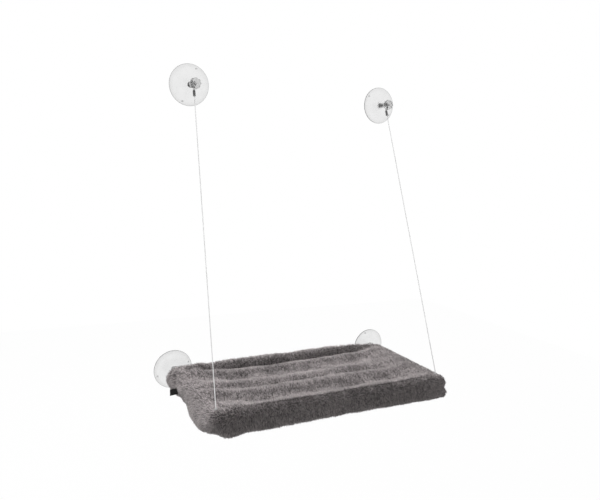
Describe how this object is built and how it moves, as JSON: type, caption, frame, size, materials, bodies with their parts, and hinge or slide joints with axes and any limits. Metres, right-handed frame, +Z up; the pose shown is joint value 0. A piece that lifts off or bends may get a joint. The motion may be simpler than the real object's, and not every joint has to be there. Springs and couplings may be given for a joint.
{
  "type": "window mounted cat perch",
  "caption": "Plush cat bed on a tube frame, hooked to lower window suction cups and held level by steel cables from upper suction cups; the bed folds up on its rear hooks.",
  "frame": {"origin": "on the window's glass, midway between the centres of the two lower suction cups", "axes": "+Z up, +X along the window, +Y into the glass, so the bed reaches out along -Y"},
  "size_m": [0.596, 0.286, 0.684],
  "materials": {
    "clear_pvc": "clear soft vinyl, glossy",
    "stud_steel": "zinc-plated thread",
    "clear_plastic": "clear moulded plastic, glossy",
    "washer_steel": "plain steel",
    "cable_steel": "stranded steel under a clear sheath",
    "ferrule_dark": "crimped, dark",
    "sleeve_aluminium": "crimped, plain",
    "nut_nickel": "nickel-plated, knurled",
    "rail_steel": "grey paint, satin",
    "corner_plastic": "black, fine texture",
    "screw_steel": "plain steel",
    "foam": "open-cell foam, cream",
    "plush": "short-pile plush, grey with a warm cast",
    "base_cloth": "plain woven cloth, dark grey",
    "closure_tape": "hook-and-loop tape, black",
    "eyelet_nickel": "nickel-plated, bright",
    "tag_cloth": "black woven tape, blank"
  },
  "bodies": {
    "window_mount": {"cup_upper_left": "clear_pvc", "cup_upper_right": "clear_pvc", "cup_lower_left": "clear_pvc", "cup_lower_right": "clear_pvc", "stud_upper_left": "stud_steel", "stud_upper_right": "stud_steel", "stud_lower_left": "stud_steel", "stud_lower_right": "stud_steel", "spacer_left": "clear_plastic", "spacer_right": "clear_plastic", "hook_left": "clear_plastic", "hook_right": "clear_plastic", "washer_left": "washer_steel", "washer_right": "washer_steel", "cable_left": "cable_steel", "cable_right": "cable_steel", "ferrule_left": "ferrule_dark", "ferrule_right": "ferrule_dark"},
    "bed": {"rear_rail": "rail_steel", "front_rail": "rail_steel", "side_rail_left": "rail_steel", "side_rail_right": "rail_steel", "corner_rear_left": "corner_plastic", "corner_rear_right": "corner_plastic", "corner_front_left": "corner_plastic", "corner_front_right": "corner_plastic", "frame_screws": "screw_steel", "foam_rear": "foam", "foam_front": "foam", "foam_left": "foam", "foam_right": "foam", "foam_pad": "foam", "cover_top": "plush", "cover_bottom": "base_cloth", "closure_loop_tape": "closure_tape", "closure_hook_tape": "closure_tape", "eyelet_left": "eyelet_nickel", "eyelet_right": "eyelet_nickel", "label_tag": "tag_cloth", "stop_sleeve_left": "sleeve_aluminium", "stop_sleeve_right": "sleeve_aluminium"},
    "knob_left": {"knob_left": "clear_plastic"},
    "knob_right": {"knob_right": "clear_plastic"},
    "nut_left": {"nut_left": "nut_nickel"},
    "nut_right": {"nut_right": "nut_nickel"}
  },
  "joints": [
    {"name": "bed_fold", "type": "hinge", "parent": "window_mount", "child": "bed", "pos_m": [0, -0.04, -0.003], "axis": [-1, 0, 0], "range_deg": [0, 75], "deforming": ["cable_left", "cable_right"]},
    {"name": "knob_left_turn", "type": "hinge", "parent": "window_mount", "child": "knob_left", "pos_m": [-0.236, -0.039, 0.6], "axis": [0, -1, 0], "continuous": true},
    {"name": "knob_right_turn", "type": "hinge", "parent": "window_mount", "child": "knob_right", "pos_m": [0.236, -0.039, 0.6], "axis": [0, -1, 0], "continuous": true},
    {"name": "nut_left_turn", "type": "hinge", "parent": "window_mount", "child": "nut_left", "pos_m": [-0.256, -0.0158, 0], "axis": [0, -1, 0], "continuous": true},
    {"name": "nut_right_turn", "type": "hinge", "parent": "window_mount", "child": "nut_right", "pos_m": [0.256, -0.0158, 0], "axis": [0, -1, 0], "continuous": true}
  ]
}
